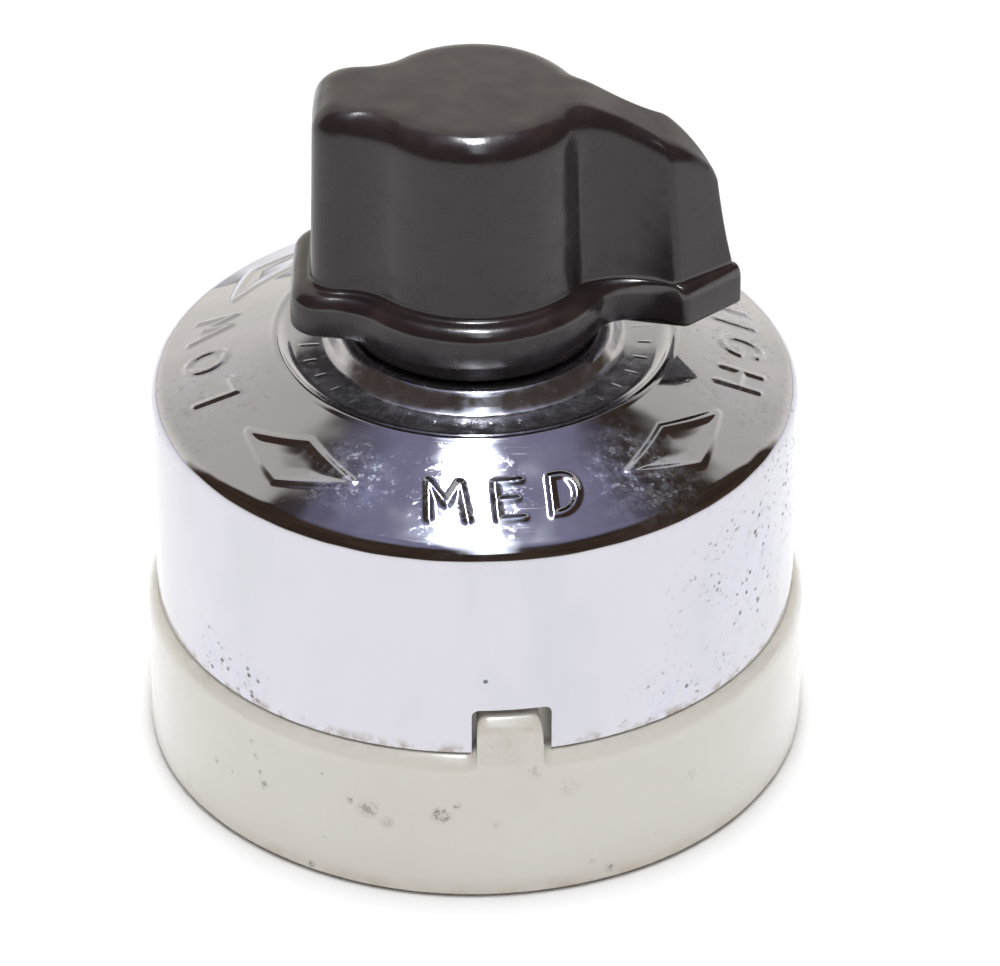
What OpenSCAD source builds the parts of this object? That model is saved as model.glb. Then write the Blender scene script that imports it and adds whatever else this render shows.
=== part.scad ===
// Three-heat rotary surface switch: porcelain base, drawn metal cover, pointer knob, and inside
// a snap mechanism that turns flat knife blades through spring jaws in quarter turns.
// Frame: millimetres, +Z up, origin at the centre of the base's underside, the tab towards -Y.
// Positions clockwise from above: OFF at +Y, HIGH at +X, MED at -Y, LOW at -X.

/* [Porcelain base] */
// Diameter of the base
base_d = 64; // [63:0.5:66]
// Height of the ledge that the cover stands on
base_h = 16; // [15.5:0.1:16.5]
// Rounding of the ledge's outer edge
base_edge_r = 2; // [1:0.25:2.5]
// Height of the inner wall's top
wall_top = 24; // [23.5:0.1:24]
// Height of the floor of the well and the wiring pockets
floor_z = 8; // [7.5:0.1:8]
// Width of the locating tab
tab_w = 6.3; // [5:0.1:7]
// Height of the locating tab above the ledge
tab_h = 4.3; // [3.5:0.1:4.5]

/* [Mounting and wiring] */
// Distance between the two mounting holes
mount_spacing = 43; // [42:0.5:44]
// Diameter of the mounting holes
mount_hole_d = 4.6; // [4:0.1:5]
// Diameter of the wire holes
wire_hole_d = 4.6; // [4:0.1:4.8]

/* [Cover] */
// Outside diameter of the cover
cover_d = 61.8; // [61.6:0.1:62]
// Thickness of the cover's sheet metal
cover_t = 0.6; // [0.5:0.05:0.6]
// Height where the straight wall ends
cover_wall_top = 36.9; // [36.6:0.1:37.2]
// Radius of the shoulder's rounding
shoulder_r = 2; // [1.5:0.1:2.2]
// Radius of the dial's inner rim
dial_rim_r = 18.9; // [18.5:0.1:19.2]
// Height of the dial's inner rim
dial_rim_z = 43.4; // [43.2:0.1:43.6]
// Height of the boss under the knob
boss_z = 44.7; // [44.5:0.1:44.8]

/* [Knob] */
// Angle of the pointer from the HIGH mark at rest, the play before the spring takes up
knob_rest = -7; // [-10:1:0]
// Radius of the knob's round hub
hub_r = 10.9; // [10.5:0.1:11.2]
// Reach of the pointer's tip
pointer_reach = 24.5; // [23.5:0.1:25.5]
// Reach of the blunt tail
tail_reach = 15.3; // [14.8:0.1:16]
// Width that the skirt stands proud of the body
skirt_lip = 2.2; // [1.8:0.1:2.4]
// Height of the knob's flat top
knob_top = 69.8; // [68.8:0.5:71.8]

/* [Contacts] */
// Reach of the blades from the spindle's axis
blade_reach = 14.3; // [13.5:0.1:14.4]
// Thickness of a blade
blade_t = 1; // [0.8:0.1:1.1]
// Clearance between a blade and each leaf of a jaw
blade_gap = 0.05; // [0.03:0.01:0.1]

/* [Hidden] */
$fn = 96;
base_r = base_d / 2;
cover_r = cover_d / 2;
inner_wall_r = 29.3;
wall_edge = 1;
foot_edge_r = 0.8;
tab_corner_r = 1;
tab_root_r = 27.3;
well_r = 15.6;
// Wiring pockets, one on each diagonal
pocket_hw = 9;
pocket_start = 10;
pocket_reach = 26.8;
wire_r = 20;
wire_off = 6.4;
// Mounting holes have a deep seat for the screw head
mount_floor = 7;
mount_seat_r = 4.4;
// Screws of the frame, from below
frame_screw_y = 21.5;
frame_screw_r = 1.6;
frame_head_r = 3;
frame_head_t = 2.2;
frame_seat_r = 3.4;
frame_seat_z = 4;
frame_screw_end = 1.1;
// Screws of the contacts, from below
contact_x = 18.9;
contact_screw_r = 1.1;
contact_head_r = 2.2;
contact_head_t = 1.6;
contact_seat_r = 2.6;
contact_seat_z = 3.2;
plug_z = 0.3;
// Terminals
plate_t = 1.2;
plate_hw = 4;
plate_start = 16;
plate_reach = 26.3;
plate_top = floor_z + plate_t;
terminal_x = 23.6;
terminal_screw_r = 1.5;
terminal_head_r = 2.8;
terminal_head_t = 2;
cup_washer_r = 3.2;
cup_washer_t = 0.6;
cup_top = plate_top + cup_washer_t;
thread_depth = 3.6;
thread_end_gap = 0.4;
slot_hw = 0.4;
slot_depth = 0.9;
// Jaws
leaf_t = 0.8;
jaw_hw = 3;
jaw_mouth = 11.9;
jaw_back = 16.7;
foot_reach = 20.3;
// Rotor, heights from the bottom of the stack up
rotor_z = 9.3;
lower_blade_z = 12.2;
upper_blade_z = 17.4;
index_z = 21;
index_t = 1.5;
index_r = 12.5;
notch_w = 3.2;
notch_d = 2;
rotor_r = 9.6;
middle_r = 8.6;
blade_disc_r = 8.6;
blade_hw = 3;
rotor_rivet_x = 6.6;
rotor_rivet_r = 0.9;
rivet_head_r = 1.6;
rivet_head_t = 0.55;
// Spindle
spindle_r = 3;
spindle_top = 60;
pivot_r = 2;
pivot_z = 5.9;
shoulder_z = 9.05;
running = 0.06;
bearing_r = 4.5;
bearing_z = 5;
bearing_top = 9;
thrust_washer_r = 4.4;
// Frame over the rotor
frame_t = 1.4;
frame_hw = 6.5;
frame_y = 17.3;
frame_foot_y = 25.5;
frame_top = 39.6;
bushing_r = 4;
bushing_top = 47.6;
bushing_flange_r = 6.5;
bushing_flange_z = frame_top - frame_t - 1.3;
cover_nut_r = 6.6;
cover_nut_t = 2.1;
nut_slot_hw = 0.6;
nut_slot_depth = 0.8;
// Winding plate and spring
wind_z = 31.5;
wind_plate_t = 1.4;
wind_hub_r = 6.3;
wind_hub_t = 4.1;
wind_disc_r = 9.5;
wind_r = 10.5;
spindle_washer_r = 5.6;
pin_z = 34.2;
pin_r = 0.8;
lug_r = 9.6;
lug_hw = 0.7;
lug_half_length = 1.6;
lug_rise = 2.4;
wind_lobe_hw = 3;
spring_r = 7;
spring_wire_r = 0.65;
spring_turns = 4.25;
spring_steps = 16;
coil_rings = spring_turns * spring_steps;
wire_sides = 8;
spring_low = 24.1;
spring_high = 30.4;
// Leaf springs
leaf_hw = 1.5;
leaf_gauge = 0.5;
leaf_step_y = 13.9;
leaf_step_z = 24.5;
tongue_tip = 11;
tongue_z = 21.3;
tongue_t = 0.9;
spring_rivet_z = 34;
leaf_top = spring_rivet_z + 2;
// Cover: the way from the shoulder's centre to the dial's inner rim, and the angle at which the
// dial's slope leaves the shoulder
to_rim = [dial_rim_r - (cover_r - shoulder_r), dial_rim_z - cover_wall_top];
dial_slope = atan2(to_rim[1], to_rim[0]) - acos(shoulder_r / norm(to_rim));
recess_r = 17.4;
recess_z = 42.8;
boss_foot_r = 14.5;
boss_r = 12.6;
// How far the sheet's inner face stands back at the bends of recess and boss, in sheet thicknesses
recess_bend = 0.7;
boss_bend = 0.4;
cover_hole_r = 4.3;
notch_hw = 3.75;
notch_h = 4.9;
notch_shift = 0.25;
notch_corner_r = 0.6;
// Fibre liner: a sleeve in the cover's wall and a coned disc under its dial
liner_gap = 0.1;
liner_t = 0.5;
liner_r = cover_r - cover_t - liner_gap;
liner_top = 36.6;
liner_cut = 0.7;
disc_r = liner_r - 0.4;
disc_bend_r = 16.5;
disc_hole_r = 8;
disc_z = 41.9;
// Knob details
collar_r = 12.1;
collar_z = 45;
skirt_z = 46.9;
skirt_top = 51;
knob_seat_r = 8.4;
knob_seat_top = 48.4;
insert_r = 4.8;
insert_top = 60.4;
waist_x = 14.7;
waist_hw = 3.05;
side_r = 9;
shoulder_hw = 4.1;
tip_corner_r = 0.9;
tip_run = 5.3;
tail_hw = 5.85;
cove_r = 7;
body_groove_r = 2;
skirt_groove_r = 3;
// How far each measure of the knob's plan moves for every millimetre that its outline grows
tip_share = 0.41;
run_share = 0.14;
shoulder_share = 0.5;
waist_x_share = 0.45;
waist_share = 0.27;
tail_share = 0.89;
tail_w_share = 0.73;
// The pointer's slope: distance from the axis, and depth below the flat top
pointer_slope = [[10, 0], [12.7, 1.4], [17.2, 3.8], [20.6, 6.6], [23, 9.4], [30, 19]];

// ---- helpers ----

// Points of an arc about [cx, cy] from angle a0 to a1, in n steps
function arc(cx, cy, r, a0, a1, n = 8) =
    [for (i = [0:n]) let (a = a0 + (a1 - a0) * i / n) [cx + r * cos(a), cy + r * sin(a)]];

// Mirror image in the X axis of a list of points, in reverse order
function mirrored(points) = [for (i = [len(points) - 1:-1:0]) [points[i][0], -points[i][1]]];

module tube(r_out, r_in, z0, z1) translate([0, 0, z0]) difference() {
    cylinder(r = r_out, h = z1 - z0);
    translate([0, 0, -1]) cylinder(r = r_in, h = z1 - z0 + 2);
}

module rod(r, z0, z1) translate([0, 0, z0]) cylinder(r = r, h = z1 - z0);

module slab(x0, x1, y0, y1, z0, z1) translate([x0, y0, z0]) cube([x1 - x0, y1 - y0, z1 - z0]);

// The terminals stand on the diagonals: 0 line, 1 medium, 2 low, 3 common
module at_terminal(i) rotate(45 + 90 * i) children();

module at_terminals() for (i = [0:3]) at_terminal(i) children();

// Both sides of the Y axis
module at_ends(y) for (s = [-1, 1]) translate([0, s * y, 0]) children();

// ---- porcelain base ----

module base_body() rotate_extrude() polygon(concat(
    [[0, 0]],
    arc(base_r - foot_edge_r, foot_edge_r, foot_edge_r, -90, 0, 4),
    arc(base_r - base_edge_r, base_h - base_edge_r, base_edge_r, 0, 90),
    [[inner_wall_r, base_h], [inner_wall_r, wall_top - wall_edge]],
    [[inner_wall_r - wall_edge, wall_top], [0, wall_top]]
));

// The locating tab, flush with the base's outer wall and round at its upper corners
module locating_tab() intersection() {
    top = base_h + tab_h - tab_corner_r;
    rod(base_r, base_h - base_edge_r - 1, base_h + tab_h);
    rotate([90, 0, 0]) translate([0, 0, tab_root_r]) linear_extrude(base_r + 1 - tab_root_r)
        polygon(concat(
            [[-tab_w / 2, base_h - base_edge_r - 1], [tab_w / 2, base_h - base_edge_r - 1]],
            arc(tab_w / 2 - tab_corner_r, top, tab_corner_r, 0, 90, 6),
            arc(tab_corner_r - tab_w / 2, top, tab_corner_r, 90, 180, 6)
        ));
}

module wiring_pocket() intersection() {
    slab(pocket_start, pocket_reach + 1, -pocket_hw, pocket_hw, floor_z, wall_top + 1);
    rod(pocket_reach, floor_z, wall_top + 1);
}

module porcelain_base() color("ivory") difference() {
    union() {
        base_body();
        locating_tab();
    }
    rod(well_r, floor_z, wall_top + 1);
    rod(bearing_r, bearing_z, floor_z + 1);
    at_terminals() {
        wiring_pocket();
        translate([wire_r, wire_off, 0]) rod(wire_hole_d / 2, -1, floor_z + 1);
        translate([contact_x, 0, 0]) rod(contact_seat_r, -1, contact_seat_z);
        translate([contact_x, 0, 0]) rod(contact_screw_r, 0, floor_z + 1);
        translate([terminal_x, 0, 0]) rod(terminal_screw_r, floor_z - thread_depth, floor_z + 1);
    }
    for (s = [-1, 1]) translate([s * mount_spacing / 2, 0, 0]) {
        rod(mount_hole_d / 2, -1, mount_floor + 1);
        rod(mount_seat_r, mount_floor, wall_top + 1);
    }
    at_ends(frame_screw_y) {
        rod(frame_seat_r, -1, frame_seat_z);
        rod(frame_screw_r, 0, wall_top + 1);
    }
}

// ---- cover ----

// Face of the cover from the foot to the hole, t inside the outer face
function cover_face(t) = concat(
    [[cover_r - t, base_h]],
    arc(cover_r - shoulder_r, cover_wall_top, shoulder_r - t, 0, dial_slope),
    [
        [dial_rim_r - t * cos(dial_slope), dial_rim_z - t * sin(dial_slope)],
        [recess_r - t * recess_bend, recess_z - t],
        [boss_foot_r - t * boss_bend, recess_z - t],
        [boss_r - t * boss_bend, boss_z - t],
        [cover_hole_r, boss_z - t]
    ]
);

function reversed(points) = [for (i = [len(points) - 1:-1:0]) points[i]];

module notch(hw, top) rotate([90, 0, 0]) linear_extrude(cover_r + 1) polygon(concat(
    [[notch_shift - hw, base_h - 1], [notch_shift + hw, base_h - 1]],
    arc(notch_shift + hw - notch_corner_r, top - notch_corner_r, notch_corner_r, 0, 90, 4),
    arc(notch_shift - hw + notch_corner_r, top - notch_corner_r, notch_corner_r, 90, 180, 4)
));

module cover_shell() color("silver") difference() {
    rotate_extrude() polygon(concat(cover_face(0), reversed(cover_face(cover_t))));
    notch(notch_hw, base_h + notch_h);
}

module cover_nut() color("goldenrod") difference() {
    top = boss_z + cover_nut_t;
    tube(cover_nut_r, bushing_r, boss_z, top);
    for (a = [0, 90]) rotate(a)
        slab(-cover_nut_r, cover_nut_r, -nut_slot_hw, nut_slot_hw, top - nut_slot_depth, top + 1);
}

module liner_sleeve() color("saddlebrown") difference() {
    tube(liner_r, liner_r - liner_t, base_h + 1, liner_top);
    notch(notch_hw + liner_cut, base_h + notch_h + liner_cut);
}

module liner_disc() color("saddlebrown") rotate_extrude() polygon([
    [disc_r, liner_top], [disc_r, liner_top + liner_t], [disc_bend_r, disc_z], [disc_hole_r, disc_z],
    [disc_hole_r, disc_z - liner_t], [disc_bend_r, disc_z - liner_t]
]);

// ---- frame ----

// One foot and leg of the frame on the +Y side
module frame_leg() {
    slab(-frame_hw, frame_hw, frame_y - frame_t, frame_foot_y, wall_top, wall_top + frame_t);
    slab(-frame_hw, frame_hw, frame_y - frame_t, frame_y, wall_top, frame_top);
}

module mechanism_frame() color("gainsboro") difference() {
    union() {
        slab(-frame_hw, frame_hw, -frame_y, frame_y, frame_top - frame_t, frame_top);
        frame_leg();
        mirror([0, 1, 0]) frame_leg();
    }
    rod(bushing_r, frame_top - frame_t - 1, frame_top + 1);
    at_ends(frame_screw_y) rod(frame_screw_r, wall_top - 1, wall_top + frame_t + 1);
    translate([0, 0, spring_rivet_z]) rotate([90, 0, 0]) rod(rotor_rivet_r, -frame_y - 1, frame_y + 1);
}

module spindle_bushing() color("goldenrod") {
    tube(bushing_flange_r, spindle_r + running, bushing_flange_z, frame_top - frame_t);
    tube(bushing_r, spindle_r + running, frame_top - frame_t, bushing_top);
}

module frame_screws() color("silver") at_ends(frame_screw_y) {
    rod(frame_head_r, frame_seat_z - frame_head_t, frame_seat_z);
    rod(frame_screw_r, frame_seat_z, wall_top + frame_t + frame_screw_end);
}

// One leaf spring on the +Y side: flat on the frame's leg, stepped inwards above the base,
// and down to a tongue in the index plate's notch
module index_spring() {
    leaf_y = frame_y - frame_t;
    slab(-leaf_hw, leaf_hw, leaf_y - leaf_gauge, leaf_y, leaf_step_z, leaf_top);
    slab(-leaf_hw, leaf_hw, leaf_step_y, leaf_y, leaf_step_z, leaf_step_z + leaf_gauge);
    slab(-leaf_hw, leaf_hw, leaf_step_y, leaf_step_y + leaf_gauge, tongue_z, leaf_step_z + leaf_gauge);
    slab(-leaf_hw, leaf_hw, tongue_tip, leaf_step_y + leaf_gauge, tongue_z, tongue_z + tongue_t);
}

module index_springs() color("peru") difference() {
    for (a = [0, 180]) rotate(a) index_spring();
    translate([0, 0, spring_rivet_z]) rotate([90, 0, 0]) rod(rotor_rivet_r, -frame_y, frame_y);
}

module index_spring_rivets() color("goldenrod") for (a = [0, 180]) rotate(a)
    translate([0, 0, spring_rivet_z]) rotate([-90, 0, 0]) {
        rod(rivet_head_r, frame_y - frame_t - leaf_gauge - rivet_head_t, frame_y - frame_t - leaf_gauge);
        rod(rotor_rivet_r, frame_y - frame_t - leaf_gauge, frame_y);
        rod(rivet_head_r, frame_y, frame_y + rivet_head_t);
    }

// ---- contacts and terminals ----

// The two leaves that grip a blade whose underside is at z
module jaw_leaves(z) for (z0 = [z - blade_gap - leaf_t, z + blade_t + blade_gap])
    slab(jaw_mouth, jaw_back + leaf_t, -jaw_hw, jaw_hw, z0, z0 + leaf_t);

// A jaw with a pair of leaves at each height in levels, and a foot on the terminal plate
module jaw(levels) difference() {
    union() {
        for (z = levels) jaw_leaves(z);
        slab(jaw_back, jaw_back + leaf_t, -jaw_hw, jaw_hw, plate_top,
            max(levels) + blade_t + blade_gap + leaf_t);
        slab(jaw_back, foot_reach, -jaw_hw, jaw_hw, plate_top, plate_top + leaf_t);
    }
    translate([contact_x, 0, 0]) rod(contact_screw_r, plate_top - 1, plate_top + leaf_t + 1);
}

module line_jaw() color("peru") at_terminal(0) jaw([lower_blade_z, upper_blade_z]);

module medium_jaw() color("peru") at_terminal(1) jaw([upper_blade_z]);

module low_jaw() color("peru") at_terminal(2) jaw([lower_blade_z]);

module terminal_plate() difference() {
    slab(plate_start, plate_reach, -plate_hw, plate_hw, floor_z, plate_top);
    translate([contact_x, 0, 0]) rod(contact_screw_r, floor_z - 1, plate_top + 1);
    translate([terminal_x, 0, 0]) rod(terminal_screw_r, floor_z - 1, plate_top + 1);
}

module line_terminal() color("goldenrod") at_terminal(0) terminal_plate();

module medium_terminal() color("goldenrod") at_terminal(1) terminal_plate();

module low_terminal() color("goldenrod") at_terminal(2) terminal_plate();

module common_terminal() color("goldenrod") at_terminal(3) terminal_plate();

module terminal_screw() difference() {
    head_top = cup_top + terminal_head_t;
    union() {
        rod(terminal_screw_r, floor_z - thread_depth + thread_end_gap, cup_top);
        rod(terminal_head_r, cup_top, head_top);
    }
    slab(-terminal_head_r, terminal_head_r, -slot_hw, slot_hw, head_top - slot_depth, head_top + 1);
}

module terminal_screws() color("goldenrod") at_terminals() translate([terminal_x, 0, 0])
    terminal_screw();

module terminal_washers() color("goldenrod") at_terminals() translate([terminal_x, 0, 0])
    tube(cup_washer_r, terminal_screw_r, plate_top, cup_top);

module contact_screws() color("silver") at_terminals() translate([contact_x, 0, 0]) {
    rod(contact_head_r, contact_seat_z - contact_head_t, contact_seat_z);
    rod(contact_screw_r, contact_seat_z, plate_top + leaf_t);
}

module sealing_plugs() color("dimgray") {
    at_ends(frame_screw_y) rod(frame_seat_r, plug_z, frame_seat_z - frame_head_t);
    at_terminals() translate([contact_x, 0, 0])
        rod(contact_seat_r, plug_z, contact_seat_z - contact_head_t);
}

module pivot_bearing() color("goldenrod") {
    rod(bearing_r, bearing_z, pivot_z - running);
    tube(bearing_r, pivot_r + running, pivot_z - running, bearing_top);
}

module thrust_washer() color("saddlebrown")
    tube(thrust_washer_r, spindle_r + running, bearing_top, rotor_z - running);

// ---- rotor ----

module rotor_holes(z0, z1) {
    rod(spindle_r + running, z0 - 1, z1 + 1);
    for (s = [-1, 1]) translate([s * rotor_rivet_x, 0, 0]) rod(rotor_rivet_r, z0 - 1, z1 + 1);
}

module insulator(r, z0, z1) color("sienna") difference() {
    rod(r, z0, z1);
    rotor_holes(z0, z1);
}

module lower_insulator() insulator(rotor_r, rotor_z, lower_blade_z);

module middle_insulator() insulator(middle_r, lower_blade_z + blade_t, upper_blade_z);

module upper_insulator() insulator(rotor_r, upper_blade_z + blade_t, index_z);

// A blade with a prong towards each terminal in the list
module blade(z, prongs) color("peru") difference() {
    union() {
        rod(blade_disc_r, z, z + blade_t);
        intersection() {
            for (i = prongs) at_terminal(i) slab(0, blade_reach + 1, -blade_hw, blade_hw, z, z + blade_t);
            rod(blade_reach, z, z + blade_t);
        }
    }
    rotor_holes(z, z + blade_t);
}

module lower_blade() blade(lower_blade_z, [0, 2]);

module upper_blade() blade(upper_blade_z, [0, 1, 2]);

// A lug on a plate, between heights z0 and z1
module lug(z0, z1)
    slab(lug_r - lug_hw, lug_r + lug_hw, -lug_half_length, lug_half_length, z0, z1);

module index_plate() color("silver") difference() {
    union() {
        rod(index_r, index_z, index_z + index_t);
        rotate(45) lug(index_z, index_z + index_t + lug_rise);
    }
    rotor_holes(index_z, index_z + index_t);
    for (a = [0:90:270]) rotate(a)
        slab(index_r - notch_d, index_r + 1, -notch_w / 2, notch_w / 2, index_z - 1, index_z + index_t + 1);
}

module rotor_rivets() color("goldenrod") for (s = [-1, 1]) translate([s * rotor_rivet_x, 0, 0]) {
    rod(rivet_head_r, rotor_z - rivet_head_t, rotor_z);
    rod(rotor_rivet_r, rotor_z, index_z + index_t);
    rod(rivet_head_r, index_z + index_t, index_z + index_t + rivet_head_t);
}

// Centre line of the snap spring
function coil_point(i) = let (a = 360 * i / spring_steps)
    [spring_r * cos(a), spring_r * sin(a), spring_low + (spring_high - spring_low) * i / coil_rings];
spring_path = [for (i = [0:coil_rings]) coil_point(i)];

// Ring of points round the wire at a path point, across the coil's radius and the Z axis
function wire_ring(p) = let (u = [p[0], p[1], 0] / norm([p[0], p[1]]))
    [for (k = [0:wire_sides - 1]) let (a = 360 * k / wire_sides)
        p + spring_wire_r * (cos(a) * u + sin(a) * [0, 0, 1])];

wire_points = [for (p = spring_path) each wire_ring(p)];
wire_faces = [
    for (i = [0:coil_rings - 1], k = [0:wire_sides - 1]) let (k2 = (k + 1) % wire_sides)
        [i * wire_sides + k, i * wire_sides + k2, (i + 1) * wire_sides + k2, (i + 1) * wire_sides + k]
];
wire_ends = [
    [for (k = [wire_sides - 1:-1:0]) k],
    [for (k = [0:wire_sides - 1]) coil_rings * wire_sides + k]
];

module snap_spring() color("slategray") polyhedron(wire_points, concat(wire_faces, wire_ends));

// ---- spindle and winding plate ----

module spindle() color("silver") difference() {
    union() {
        rod(pivot_r, pivot_z, shoulder_z);
        rod(spindle_r, shoulder_z, spindle_top);
    }
    translate([0, 0, pin_z]) rotate([0, 90, 0]) rod(pin_r, -spindle_r - 1, spindle_r + 1);
}

module winding_plate() color("silver") difference() {
    union() {
        rod(wind_hub_r, wind_z, wind_z + wind_hub_t);
        rod(wind_disc_r, wind_z, wind_z + wind_plate_t);
        for (a = [45:90:315]) rotate(a)
            slab(0, wind_r, -wind_lobe_hw, wind_lobe_hw, wind_z, wind_z + wind_plate_t);
        rotate(135) lug(wind_z - lug_rise, wind_z + wind_plate_t);
    }
    rod(spindle_r, wind_z - 1, wind_z + wind_hub_t + 1);
    translate([0, 0, pin_z]) rotate([0, 90, 0]) rod(pin_r, -wind_hub_r - 1, wind_hub_r + 1);
}

module drive_pin() color("gray") translate([0, 0, pin_z]) rotate([0, 90, 0])
    rod(pin_r, -wind_hub_r, wind_hub_r);

module spindle_washer() color("silver")
    tube(spindle_washer_r, spindle_r, wind_z + wind_hub_t, bushing_flange_z - running);

// ---- knob ----

// Where a circle of radius r1 round the origin meets one of radius r2 round c, on c's right
function circles_meet(r1, c, r2) = let (
    d = norm(c),
    along = (r1 * r1 - r2 * r2 + d * d) / (2 * d),
    aside = sqrt(r1 * r1 - along * along)
) c * along / d + [c[1], -c[0]] * aside / d;

function angle_of(p) = atan2(p[1], p[0]);

// Centre of the round at a pointer's shoulder: it touches the tip's face and the hollow side
function shoulder_centre(tip, lean, hollow, side) = let (
    from = [sin(lean), cos(lean)] * (tip * sin(lean) - tip_corner_r),
    way = [-cos(lean), sin(lean)],
    off = way * (from - hollow)
) from - way * (off + sqrt(off * off - pow(norm(from - hollow), 2) + pow(side + tip_corner_r, 2)));

// Half of the knob's plan at one level: a pointer with a V tip towards +X and hollow sides, a round
// hub and a blunt tail. grow moves the outline outwards, flare rounds the groove beside the hub.
function half_plan(grow, flare) = let (
    hub = hub_r + grow,
    side = side_r - grow,
    tip = pointer_reach + grow * tip_share,
    lean = atan2(shoulder_hw + grow * shoulder_share, tip_run + grow * run_share),
    hollow = [waist_x + grow * waist_x_share, waist_hw + grow * waist_share + side],
    shoulder = shoulder_centre(tip, lean, hollow, side),
    groove = circles_meet(hub + flare, hollow, side - flare),
    tail_w = tail_hw + grow * tail_w_share,
    cove = [-sqrt(pow(hub + cove_r, 2) - pow(tail_w + cove_r, 2)), tail_w + cove_r],
    corner = tail_reach + grow * tail_share + cove[0]
) concat(
    [[tip, 0]],
    arc(shoulder[0], shoulder[1], tip_corner_r, 90 - lean, angle_of(hollow - shoulder), 4),
    arc(hollow[0], hollow[1], side, angle_of(shoulder - hollow), angle_of(groove - hollow), 6),
    arc(groove[0], groove[1], flare, angle_of(groove - hollow), angle_of(-groove), 5),
    arc(0, 0, hub, angle_of(groove), angle_of(cove), 12),
    arc(cove[0], cove[1], cove_r, angle_of(-cove), -90, 6),
    arc(cove[0], tail_w - corner, corner, 90, 180, 6)
);

function knob_plan(grow, flare) = concat(half_plan(grow, flare), mirrored(half_plan(grow, flare)));

// Side view of the knob: flat top, then a slope down over the pointer
module knob_side() polygon(concat(
    [[pointer_slope[5][0], collar_z], [-pointer_slope[5][0], collar_z], [-pointer_slope[5][0], knob_top]],
    [for (p = pointer_slope) [p[0], knob_top - p[1]]]
));

module knob_body() intersection() {
    translate([0, 0, skirt_top]) linear_extrude(knob_top - skirt_top)
        polygon(knob_plan(0, body_groove_r));
    rotate([90, 0, 0]) linear_extrude(2 * hub_r + 2, center = true) knob_side();
}

module knob() color("black") rotate(knob_rest) difference() {
    union() {
        knob_body();
        translate([0, 0, skirt_z]) linear_extrude(skirt_top - skirt_z)
            polygon(knob_plan(skirt_lip, skirt_groove_r));
        rod(collar_r, collar_z, skirt_z);
    }
    rod(knob_seat_r, collar_z - 1, knob_seat_top);
    rod(insert_r, knob_seat_top - 1, insert_top);
}

module knob_insert() color("goldenrod") tube(insert_r, spindle_r, knob_seat_top, insert_top);

porcelain_base();
cover_shell();
cover_nut();
liner_sleeve();
liner_disc();
mechanism_frame();
spindle_bushing();
frame_screws();
index_springs();
index_spring_rivets();
line_jaw();
medium_jaw();
low_jaw();
line_terminal();
medium_terminal();
low_terminal();
common_terminal();
terminal_screws();
terminal_washers();
contact_screws();
sealing_plugs();
pivot_bearing();
thrust_washer();
knob();
knob_insert();
spindle();
winding_plate();
drive_pin();
spindle_washer();
lower_insulator();
lower_blade();
middle_insulator();
upper_blade();
upper_insulator();
index_plate();
rotor_rivets();
snap_spring();
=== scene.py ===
"""Looks of a three-heat rotary surface switch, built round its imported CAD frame.

Shape functions work in millimetres, in the frame's axes: +Z up, the tab towards -Y, HIGH at +X.
make_mesh() turns their points into metres.
"""
import math
import random

import bmesh
import bpy
import numpy as np
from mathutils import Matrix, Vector


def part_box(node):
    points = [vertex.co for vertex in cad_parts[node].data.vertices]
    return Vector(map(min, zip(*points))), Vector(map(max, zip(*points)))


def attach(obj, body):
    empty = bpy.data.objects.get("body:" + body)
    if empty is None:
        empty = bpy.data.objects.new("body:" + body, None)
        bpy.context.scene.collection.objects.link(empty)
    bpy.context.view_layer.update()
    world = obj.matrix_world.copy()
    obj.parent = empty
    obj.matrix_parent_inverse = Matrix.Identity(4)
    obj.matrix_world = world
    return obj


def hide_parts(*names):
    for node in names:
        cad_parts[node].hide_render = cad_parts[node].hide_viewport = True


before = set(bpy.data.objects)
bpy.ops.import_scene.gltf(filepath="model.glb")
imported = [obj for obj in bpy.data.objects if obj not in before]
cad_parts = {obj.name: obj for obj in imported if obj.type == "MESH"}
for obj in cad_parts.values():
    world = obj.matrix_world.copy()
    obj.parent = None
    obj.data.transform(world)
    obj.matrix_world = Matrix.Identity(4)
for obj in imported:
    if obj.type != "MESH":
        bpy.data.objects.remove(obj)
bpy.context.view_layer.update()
MM = 0.001

# ---- sizes, from the frame's boxes where it has them ----


def top_of(node):
    """Height of a node's top in millimetres."""
    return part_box(node)[1].z / MM


def reach_of(node):
    """How far a node reaches to +X, in millimetres."""
    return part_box(node)[1].x / MM


BASE_R = reach_of("porcelain_base")
WALL_TOP = top_of("porcelain_base")
COVER_R = reach_of("cover_shell")
COVER_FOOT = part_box("cover_shell")[0].z / MM
BOSS_Z = top_of("cover_shell")
KNOB_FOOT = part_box("knob")[0].z / MM
KNOB_TOP = top_of("knob")
INSERT_TOP = top_of("knob_insert")
INSERT_R = reach_of("knob_insert")
SEAT_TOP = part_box("knob_insert")[0].z / MM
KNOB_REST = math.radians(-7)


# ---- mesh helpers ----


def smoothstep(low, high, x):
    """0 at low and before it, 1 at high and past it, and a smooth ramp between; low may be the larger."""
    t = np.clip((x - low) / (high - low), 0, 1)
    return t * t * (3 - 2 * t)


def arc(cx, cy, r, start, end, steps):
    """Points of an arc, with angles in degrees."""
    angles = np.radians(np.linspace(start, end, steps + 1))
    return np.stack([cx + r * np.cos(angles), cy + r * np.sin(angles)], 1)


def line(a, b, steps):
    """Points between a and b, leaving out both ends."""
    t = np.linspace(0, 1, steps + 2)[1:-1, None]
    return np.array(a) + (np.array(b) - np.array(a)) * t


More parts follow.
